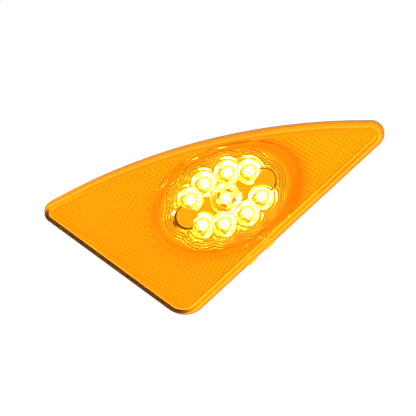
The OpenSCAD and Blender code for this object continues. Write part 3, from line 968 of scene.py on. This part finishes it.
# %% [markdown]
# ## The reflector
# The reflector is what the eye goes to, so its bowls and terraces are cut again, finer than in
# the solid. A copy of the solid is first filled: a round block in every bowl and an oval plate
# over the terraces. Then new tools cut it. The terraces' tool is a stack of scalloped outlines
# round the bowls and the two wells, where neighbouring circles meet in a point.

# %% Scalloped outlines
BOWL_R = 7.5
MIDDLE_R = 9.4
WELL_U = 25.7
WELL_R = 6.7
RING_LEDS = 8
ARC_STEPS = 24


def led_place(number):
    """An LED's place on the bench."""
    low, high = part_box(f"led_{number}")
    return Vector(((low.x + high.x) / 2, (low.z + high.z) / 2, 0)) / MM


def meeting(first, first_r, second, second_r):
    """The outer crossing point of two circles."""
    span = second - first
    along = (span.length_squared + first_r ** 2 - second_r ** 2) / (2 * span.length)
    side = math.sqrt(first_r ** 2 - along ** 2)
    direction = span.normalized()
    across = Vector((direction.y, -direction.x, 0))
    return first + direction * along + across * side


leds = [led_place(number) for number in range(1, RING_LEDS + 1)]
wells = [TILT @ Vector((side * WELL_U, 0, 0)) for side in (-1, 1)]
lobes = [(place, 0.0) for place in leds] + [(place, WELL_R - BOWL_R) for place in wells]
lobes.sort(key=lambda lobe: bearing(lobe[0]))


def scallop_edges(mesh, reach, height):
    """Draws the outline at a distance from the LEDs, arc by arc, and returns its edges."""
    before = set(mesh.edges)
    circles = [(centre, reach + change) for centre, change in lobes]
    for number, (centre, radius) in enumerate(circles):
        start = meeting(*circles[number - 1], centre, radius)
        end = meeting(centre, radius, *circles[(number + 1) % len(circles)])
        turn = (bearing(end - centre) - bearing(start - centre)) % (2 * math.pi)
        first = bmesh.ops.create_vert(mesh, co=start + Vector((0, 0, height)))["vert"]
        bmesh.ops.spin(mesh, geom=first, cent=centre, axis=(0, 0, 1), angle=turn,
                       steps=ARC_STEPS, use_duplicate=False)
    made = [e for e in mesh.edges if e not in before]
    bmesh.ops.remove_doubles(mesh, verts=list({v for e in made for v in e.verts}), dist=JOIN)
    return [e for e in mesh.edges if e not in before]


def scallop_stack(profile):
    """A closed solid through scalloped outlines, given by their reach and height."""
    mesh = bmesh.new()
    last_edges = []
    for number, (reach, height) in enumerate(profile):
        edges = scallop_edges(mesh, reach, height)
        if last_edges:
            bmesh.ops.bridge_loops(mesh, edges=last_edges + edges)
        if number in (0, len(profile) - 1):
            bmesh.ops.contextual_create(mesh, geom=edges)
        last_edges = edges
    bmesh.ops.recalc_face_normals(mesh, faces=mesh.faces)
    return mesh


print("lobes:", [tuple(round(c, 1) for c in place.xy) for place, _ in lobes])

# %% [markdown]
# The tool's profile climbs one flared wall, which mirrors the LEDs as bright crescents, and then
# runs on in waves, as rolled steps do. It ends in a lip that clears the top of the filling.

# %% The terraces' profile
LEDGE = 9.96
WALL_FOOT = 8.4
FIRST_WALL = (8.7, 10.2, 9.8, 11.85)
WAVE_START = 10.0
WAVE_END = 14.68
WAVE_LOW = 11.95
WAVE_RISE = 1.0
WAVE_HIGH = 0.2
WAVE_PHASE = 0.1
WAVES = 3
WAVE_STEPS = 8
LIP_OUT = 0.4
LIP_UP = 0.1
BOWL_TOP = 10.0
TERRACE_TOP = 13.2


def terrace_profile():
    """The wall round the bowls, then the waves, as reach and height."""
    foot, foot_high, crest, crest_high = FIRST_WALL
    profile = [(WALL_FOOT, LEDGE), (foot, foot_high), (crest, crest_high)]
    for step in range(WAVES * WAVE_STEPS + 1):
        share = step / (WAVES * WAVE_STEPS)
        wave = math.sin(2 * math.pi * (WAVES * share + WAVE_PHASE))
        profile.append((WAVE_START + (WAVE_END - WAVE_START) * share,
                        WAVE_LOW + WAVE_RISE * share + WAVE_HIGH * wave))
    profile.append((WAVE_END + LIP_OUT, TERRACE_TOP + LIP_UP))
    profile.append((WAVE_END + LIP_OUT, TERRACE_TOP + OVERLAP))
    return profile


terraces = scallop_stack(terrace_profile())
print("terrace tool faces:", len(terraces.faces))

# %% [markdown]
# Each bowl is a paraboloid with its focus on the top of its LED, so that the whole wall shows the
# light. Spinning the parabola about the axis makes it. Where two bowls would run into each other,
# both are cut back by half a web's width, and the web stands between them as a straight ridge.

# %% The bowls
THROAT_R = 4.3
MIDDLE_THROAT_R = 5.8
THROAT_FOOT = 4.0
LED_TOP = 6.1
WEB = 1.0
BOWL_SPINS = 96
BOWL_STEPS = 12


def bowl_tool(mouth, throat):
    """A closed paraboloid with a straight throat below it, on the bench's own axis."""
    rise = BOWL_TOP - LED_TOP
    focal = (math.hypot(rise, mouth) - rise) / 2
    mesh = bmesh.new()
    first = bmesh.ops.create_vert(mesh, co=(throat, 0, 0))["vert"]
    bmesh.ops.spin(mesh, geom=first, cent=(0, 0, 0), axis=(0, 1, 0), angle=0, steps=BOWL_STEPS,
                   dvec=((mouth - throat) / BOWL_STEPS, 0, 0), use_duplicate=False)
    for vert in mesh.verts:
        vert.co.z = LED_TOP - focal + vert.co.x ** 2 / (4 * focal)
    ends = sorted(mesh.verts, key=lambda v: v.co.x)
    for end, height in ((ends[0], THROAT_FOOT), (ends[-1], BOWL_TOP + OVERLAP)):
        bmesh.ops.extrude_vert_indiv(mesh, verts=[end])["verts"][0].co.z = height
    bmesh.ops.spin(mesh, geom=mesh.verts[:] + mesh.edges[:], cent=(0, 0, 0), axis=(0, 0, 1),
                   angle=2 * math.pi, steps=BOWL_SPINS, use_merge=True, use_duplicate=False)
    close(mesh)
    return mesh


def close(mesh):
    """Fills every open loop, and turns the faces outwards."""
    bmesh.ops.holes_fill(mesh, edges=[e for e in mesh.edges if len(e.link_faces) == 1])
    bmesh.ops.recalc_face_normals(mesh, faces=mesh.faces)


def cut_back(mesh, place, radius, other, other_r):
    """Clears what lies past the middle of the web between two bowls."""
    span = other - place
    reach = (span.length_squared + radius ** 2 - other_r ** 2) / (2 * span.length) - WEB / 2
    bmesh.ops.bisect_plane(mesh, geom=mesh.verts[:] + mesh.edges[:] + mesh.faces[:],
                           plane_co=place + span.normalized() * reach, plane_no=span,
                           clear_outer=True)
    close(mesh)


bowls = [(place, BOWL_R, THROAT_R) for place in leds] + [(Vector(), MIDDLE_R, MIDDLE_THROAT_R)]
bowl_tools = []
for place, mouth, throat in bowls:
    tool = bowl_tool(mouth, throat)
    bmesh.ops.translate(tool, verts=tool.verts, vec=place)
    for other, other_mouth, _ in bowls:
        if 0 < (other - place).length < mouth + other_mouth + WEB:
            cut_back(tool, place, mouth, other, other_mouth)
    bowl_tools.append(tool)
print("bowl tools:", len(bowl_tools), "faces:", sum(len(tool.faces) for tool in bowl_tools))

# %% [markdown]
# Now the copy is filled and cut. The wall of each well leans out on the side away from the
# middle, and is painted dark brown there as painted shade. The terraces get the duller coat, and
# the falling side of every wave the darker painted shade.

# %% Fill the copy and cut it again
ISLAND_U = 43.56
ISLAND_V = 27.86
FILL_FLOOR = 8.7
FILL_TOP = 13.22
FILL_BEVEL = 0.25
BLOCK_FOOT = 4.55
BLOCK_GROW = 0.35
WELL_FLOOR = 7.4
WELL_FLARE = 0.7
WELL_NEAR = 0.1
LEAN_OUT = 0.15
NOT_FLAT = 0.9
ROUND = 96


def add_cone(mesh, place, low_r, high_r, low, high, sides=ROUND, turn=0.0):
    """Adds a closed cone, cylinder or prism on an axis that stands on the bench."""
    middle = (Matrix.Translation(place + Vector((0, 0, (low + high) / 2)))
              @ Matrix.Rotation(turn, 4, "Z"))
    bmesh.ops.create_cone(mesh, cap_ends=True, segments=sides, radius1=low_r, radius2=high_r,
                          depth=high - low, matrix=middle)


def disc(place, low_r, high_r, low, high):
    """A round block or a cone between two heights."""
    mesh = bmesh.new()
    add_cone(mesh, place, low_r, high_r, low, high)
    return mesh


def well_tool(place):
    """A round well whose wall leans out on the side away from the middle."""
    mesh = disc(place, WELL_R, WELL_R + WELL_FLARE, WELL_FLOOR, BOWL_TOP + OVERLAP)
    upper = [v for v in mesh.verts if v.co.z > BOWL_TOP]
    bmesh.ops.translate(mesh, verts=upper, vec=place.normalized() * WELL_FLARE)
    return mesh


def on_wave(face):
    """True on the waves of the terraces."""
    height = face.calc_center_median().z
    return WAVE_LOW - WAVE_HIGH < height < TERRACE_TOP - MERGE and face.normal.z > UPWARD


def on_far_side(face):
    """True on the falling side of a wave, which looks away from the middle."""
    outward = face.calc_center_median().xy.normalized()
    return on_wave(face) and face.normal.xy.dot(outward) > LEAN_OUT


def on_well_wall(face):
    """True on the leaning walls of the wells, which are painted dark as shade."""
    centre = face.calc_center_median()
    if not WELL_FLOOR + MERGE < centre.z < LEDGE or face.normal.z > NOT_FLAT:
        return False
    for place in wells:
        reach = (centre - place).xy
        near = WELL_R - WELL_NEAR < reach.length < WELL_R + 2 * WELL_FLARE
        if near and reach.dot(place.xy) > 0:
            return True
    return False


bright = bench_copy("reflector")
for place, mouth, _ in bowls:
    block = disc(place, mouth + BLOCK_GROW, mouth + BLOCK_GROW, BLOCK_FOOT, BOWL_TOP)
    bright = combine(bright, block, "UNION")
plate = oval_stack([(ISLAND_U, ISLAND_V, FILL_FLOOR),
                    (ISLAND_U, ISLAND_V, FILL_TOP - FILL_BEVEL),
                    (ISLAND_U - FILL_BEVEL, ISLAND_V - FILL_BEVEL, FILL_TOP)])
bright = combine(bright, plate, "UNION")
bright = combine(bright, terraces, "DIFFERENCE")
for place in wells:
    bright = combine(bright, well_tool(place), "DIFFERENCE")
for tool in bowl_tools:
    bright = combine(bright, tool, "DIFFERENCE")
bright.normal_update()
# Painted shade: the leaning walls of the wells turn dark brown.
paint_faces([f for f in bright.faces if on_well_wall(f)], 1)
paint_faces([f for f in bright.faces if on_wave(f)], 2)
# Painted shade: the falling side of every wave takes the darker coat.
paint_faces([f for f in bright.faces if on_far_side(f)], 3)
even_shading(piece("reflector_plated", bright, [plating, well_shade, wave_coat, wave_shade],
                   "bright_metal_coat", "reflector"))

# %% [markdown]
# ## The LEDs
# Each LED is a white square package. Lit, its rim and its middle are far brighter than the rest
# of the picture. The middle is the chip, which gives light; the rim's glow is painted light, for
# the white body lit up by it. Their light is bluish, so that it comes out of the amber lens near
# white. A weaker ring of phosphor shows between them.

# %% Lit and unlit LED finishes
LIT_COLOUR = (0.6, 0.7, 1.0)
LIT_STRENGTH = 90.0
RING_COLOUR = (0.45, 0.45, 0.4)
RING_STRENGTH = 12.0
DIMMER = 0.96


def glowing(name, colour, strength):
    """A surface that gives light, a little dimmer in places."""
    material, tree = finish(name)
    tint = blend_colours(tree, noise(tree, 0.4), colour, tuple(DIMMER * c for c in colour))
    finished(tree, {"Base Color": rgba(colour), "Roughness": 0.5, "Emission Color": tint,
                    "Emission Strength": strength})
    return material


def package_plastic():
    """The white body of an LED."""
    material, tree = finish("led_package")
    colour = blend_colours(tree, noise(tree, 0.8), (0.8, 0.79, 0.76), (0.74, 0.73, 0.7))
    finished(tree, {"Base Color": colour, "Roughness": 0.45,
                    "Normal": bumped(tree, noise(tree, 0.3), 0.01)})
    return material


# Painted light: the package's rim glows, though only the chip and phosphor give light.
rim_light = glowing("led_rim_light", LIT_COLOUR, LIT_STRENGTH)
ring_light = glowing("led_ring_light", RING_COLOUR, RING_STRENGTH)
chip_light = glowing("led_chip_light", LIT_COLOUR, LIT_STRENGTH)
package = package_plastic()
led_finishes = [package, rim_light, ring_light, chip_light, tinned]
print("LED finishes:", [material.name for material in led_finishes])

# %% [markdown]
# The package is a cube whose upright edges are bevelled. Insets of its top face make the border,
# the rim, the ring and the chip, and six small blocks make its legs.

# %% Model the nine LEDs
LED_COUNT = 9
LED_WIDTH = 5.0
LED_HIGH = 1.6
LED_CORNER = 0.9
LED_CORNER_STEPS = 6
BORDER_WIDTH = 0.12
RIM_WIDTH = 0.8
RING_WIDTH = 0.8
RING_DEEP = 0.25
BOARD_TOP = 4.5
LEG_SIZE = (0.4, 0.9, 0.2)
LEG_PITCH = 1.6


def led_mesh(place):
    """One LED on the bench, with its rim, ring, chip and six legs."""
    mesh = bmesh.new()
    bmesh.ops.create_cube(mesh, size=1.0)
    bmesh.ops.scale(mesh, vec=(LED_WIDTH, LED_WIDTH, LED_HIGH), verts=mesh.verts)
    upright = [e for e in mesh.edges if abs(e.verts[0].co.z - e.verts[1].co.z) > LED_HIGH / 2]
    bmesh.ops.bevel(mesh, geom=upright, offset=LED_CORNER, segments=LED_CORNER_STEPS,
                    profile=0.5, affect="EDGES", material=-1)
    mesh.normal_update()
    top = max(mesh.faces, key=lambda face: face.calc_center_median().z)
    bmesh.ops.inset_region(mesh, faces=[top], thickness=BORDER_WIDTH, use_even_offset=True)
    rim = bmesh.ops.inset_region(mesh, faces=[top], thickness=RIM_WIDTH, use_even_offset=True)
    ring = bmesh.ops.inset_region(mesh, faces=[top], thickness=RING_WIDTH, depth=-RING_DEEP,
                                  use_even_offset=True)
    paint_faces(rim["faces"], 1)
    paint_faces(ring["faces"], 2)
    paint_faces([top], 3)
    for side in (-1, 1):
        for row in (-1, 0, 1):
            leg = bmesh.ops.create_cube(mesh, size=1.0)["verts"]
            bmesh.ops.scale(mesh, vec=LEG_SIZE, verts=leg)
            bmesh.ops.translate(mesh, verts=leg, vec=(side * LED_WIDTH / 2, row * LEG_PITCH,
                                                      (LEG_SIZE[2] - LED_HIGH) / 2))
            paint_faces({f for v in leg for f in v.link_faces}, 4)
    bmesh.ops.transform(mesh, matrix=Matrix.Translation((0, 0, BOARD_TOP + LED_HIGH / 2)),
                        verts=mesh.verts)
    bmesh.ops.transform(mesh, matrix=Matrix.Translation(place) @ TILT, verts=mesh.verts)
    return mesh


for number in range(1, LED_COUNT + 1):
    piece(f"led_lit_{number}", led_mesh(led_place(number)), led_finishes, "led_package",
          f"led_{number}")

# %% [markdown]
# ## The threaded studs
# A thread is one tooth, spun about the stud's axis while it climbs by the pitch in every turn. The
# tooth spans exactly one pitch, so each turn joins the turn below it, and merging makes one skin.
# Its points are given by their distance from the axis and their share of the pitch.

# %% Cut the threads
STUD_PLACES = [(-82.0, -11.0), (-27.0, -50.0), (68.0, 32.0)]
HEX_R = 4.6
HEX_SIDES = 6
HEX_TURN = math.radians(90)
HEX_LOW = 3.0
HEX_HIGH = 5.8
SHOULDER_R = 3.4
STUD_R = 2.5
STUD_CORE_R = 2.05
STUD_END = -18.0
STUD_POINT = 0.6
THREAD_PITCH = 0.8
THREAD_STEPS = 24
THREAD_START = -17.2
THREAD_TURNS = 20
TOOTH = [(STUD_CORE_R, 0.0), (STUD_R, 0.4), (STUD_R, 0.55), (STUD_CORE_R, 0.95),
         (STUD_CORE_R, 1.0)]


def thread(place):
    """The skin of a metric thread."""
    mesh = bmesh.new()
    verts = [mesh.verts.new((reach, 0, THREAD_START + share * THREAD_PITCH))
             for reach, share in TOOTH]
    for lower, upper in zip(verts, verts[1:]):
        bmesh.ops.contextual_create(mesh, geom=[lower, upper])
    bmesh.ops.spin(mesh, geom=mesh.verts[:] + mesh.edges[:], cent=(0, 0, 0), axis=(0, 0, 1),
                   angle=2 * math.pi * THREAD_TURNS, steps=THREAD_STEPS * THREAD_TURNS,
                   dvec=(0, 0, THREAD_PITCH / THREAD_STEPS), use_duplicate=False)
    bmesh.ops.remove_doubles(mesh, verts=mesh.verts, dist=JOIN)
    close(mesh)
    bmesh.ops.translate(mesh, verts=mesh.verts, vec=place)
    return mesh


studs = bmesh.new()
for x, y in STUD_PLACES:
    place = Vector((x, y, 0))
    add_cone(studs, place, HEX_R, HEX_R, HEX_LOW, HEX_HIGH, HEX_SIDES, HEX_TURN)
    add_cone(studs, place, SHOULDER_R, SHOULDER_R, 0.0, HEX_LOW)
    add_cone(studs, place, STUD_CORE_R, STUD_CORE_R, STUD_END + STUD_POINT, 0.0)
    add_cone(studs, place, STUD_CORE_R - STUD_POINT, STUD_CORE_R, STUD_END,
             STUD_END + STUD_POINT)
    turns = bpy.data.meshes.new("thread")
    skin = thread(place)
    skin.to_mesh(turns)
    skin.free()
    studs.from_mesh(turns)
    bpy.data.meshes.remove(turns)
piece("studs_threaded", studs, [zinc], "plated_steel", "mounting_studs")

# %% [markdown]
# ## The rest of the solids
# The other solids already have their true shapes, so each keeps its mesh and takes its finish.

# %% Dress the CAD nodes
DRESSED = {"lens_seal": sealant, "led_board": board_finish, "gasket": foam,
           "resistors": chip, "protection_diode": chip, "surge_suppressor": chip,
           "capacitor": can, "terminal_ground": tinned,
           "terminal_park": tinned, "terminal_turn": tinned, "board_screws": zinc,
           "reflector_screws": nickel, "breather_vent": vent_cap}
for name, material in DRESSED.items():
    nodes[name].data.materials.clear()
    nodes[name].data.materials.append(material)
print("dressed:", len(DRESSED), "nodes")

# %% [markdown]
# ## The picture settings
# The picture needs plain colours and enough bounces for light to find its way through the prisms.
# A cap on very bright bounced light keeps stray sparks out.

# %% Picture settings
GLASS_BOUNCES = 14
BRIGHTEST = 160.0
scene.view_settings.view_transform = "Standard"
scene.cycles.max_bounces = GLASS_BOUNCES
scene.cycles.glossy_bounces = GLASS_BOUNCES
scene.cycles.transmission_bounces = GLASS_BOUNCES
scene.cycles.sample_clamp_indirect = BRIGHTEST
print("bounces:", GLASS_BOUNCES)
